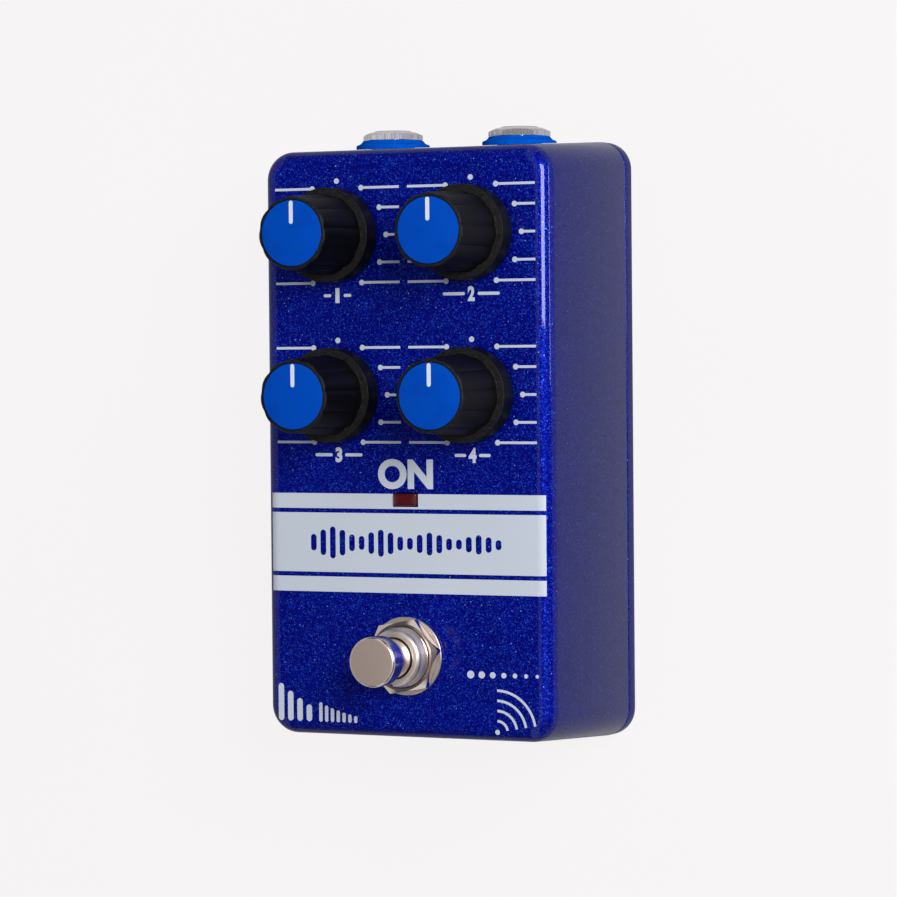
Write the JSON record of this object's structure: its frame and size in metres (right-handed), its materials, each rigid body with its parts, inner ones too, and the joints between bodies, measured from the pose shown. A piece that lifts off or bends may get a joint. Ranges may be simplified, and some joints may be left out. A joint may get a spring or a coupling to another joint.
{
  "type": "echo machine",
  "caption": "Analogue-style echo pedal: drafted cast box with lobed knobs, a lamp and a latching footswitch on its face, collared jacks and a power inlet on one end.",
  "frame": {"origin": "middle of the cover's flat underside, which lies on the floor", "axes": "+Z leaves the face with the knobs, +Y points to the end that holds the jacks, +X is to the right when the face is read"},
  "size_m": [0.066, 0.1243, 0.0595],
  "materials": {
    "case_paint": "metallic sparkle blue under a glossy clear coat, on die-cast aluminium",
    "plated_steel": "bright zinc plate on steel",
    "nickel": "polished nickel plate, slightly warm",
    "knob_black": "soft-touch black, dull satin",
    "cap_blue": "satin blue with a white pointer line",
    "collar_blue": "smooth satin blue soft plastic",
    "shaft_plastic": "glass-filled dark nylon",
    "black_plastic": "moulded black, fine satin",
    "phenolic": "brown phenolic with plated lugs",
    "board_laminate": "green solder mask on glass laminate",
    "lamp_resin": "clear dark red resin, unlit",
    "can_sleeve": "dark shrink sleeve on an aluminium can",
    "cable_sheath": "soft grey vinyl"
  },
  "bodies": {
    "housing": {"enclosure": "case_paint", "back_cover": "case_paint", "cover_screw_1": "plated_steel", "cover_screw_2": "plated_steel", "cover_screw_3": "plated_steel", "cover_screw_4": "plated_steel", "tone_pot_body": "plated_steel", "tone_pot_washer": "plated_steel", "tone_pot_nut": "plated_steel", "feedback_pot_body": "plated_steel", "feedback_pot_washer": "plated_steel", "feedback_pot_nut": "plated_steel", "level_pot_body": "plated_steel", "level_pot_washer": "plated_steel", "level_pot_nut": "plated_steel", "delay_pot_body": "plated_steel", "delay_pot_washer": "plated_steel", "delay_pot_nut": "plated_steel", "footswitch_bushing": "nickel", "footswitch_washer": "nickel", "footswitch_nut": "nickel", "footswitch_lock_nut": "nickel", "footswitch_case": "black_plastic", "footswitch_terminals": "phenolic", "footswitch_board": "board_laminate", "circuit_board": "board_laminate", "status_led": "lamp_resin", "ribbon_cable": "cable_sheath", "delay_chip": "black_plastic", "opamp_chip": "black_plastic", "regulator": "black_plastic", "capacitor_1": "can_sleeve", "capacitor_2": "can_sleeve", "capacitor_3": "can_sleeve", "input_jack_body": "black_plastic", "input_jack_sleeve": "plated_steel", "input_jack_tip_spring": "nickel", "input_jack_collar": "collar_blue", "input_jack_nut": "plated_steel", "output_jack_body": "black_plastic", "output_jack_sleeve": "plated_steel", "output_jack_tip_spring": "nickel", "output_jack_collar": "collar_blue", "output_jack_nut": "plated_steel", "dc_inlet_body": "black_plastic", "dc_inlet_pin": "nickel"},
    "tone_control": {"tone_knob": "knob_black", "tone_knob_cap": "cap_blue", "tone_pot_shaft": "shaft_plastic"},
    "feedback_control": {"feedback_knob": "knob_black", "feedback_knob_cap": "cap_blue", "feedback_pot_shaft": "shaft_plastic"},
    "level_control": {"level_knob": "knob_black", "level_knob_cap": "cap_blue", "level_pot_shaft": "shaft_plastic"},
    "delay_control": {"delay_knob": "knob_black", "delay_knob_cap": "cap_blue", "delay_pot_shaft": "shaft_plastic"},
    "footswitch_button": {"footswitch_plunger": "nickel"}
  },
  "joints": [
    {"name": "tone_turn", "type": "hinge", "parent": "housing", "child": "tone_control", "pos_m": [-0.0147, 0.0415, 0.049], "axis": [0, 0, 1], "range_deg": [-150, 150]},
    {"name": "feedback_turn", "type": "hinge", "parent": "housing", "child": "feedback_control", "pos_m": [0.0147, 0.0415, 0.049], "axis": [0, 0, 1], "range_deg": [-150, 150]},
    {"name": "level_turn", "type": "hinge", "parent": "housing", "child": "level_control", "pos_m": [-0.0147, 0.0097, 0.049], "axis": [0, 0, 1], "range_deg": [-150, 150]},
    {"name": "delay_turn", "type": "hinge", "parent": "housing", "child": "delay_control", "pos_m": [0.0147, 0.0097, 0.049], "axis": [0, 0, 1], "range_deg": [-150, 150]},
    {"name": "footswitch_press", "type": "slide", "parent": "housing", "child": "footswitch_button", "axis": [0, 0, -1], "range_m": [0, 0.003], "stiffness_N_per_m": 3000, "springref_m": -0.0015}
  ]
}
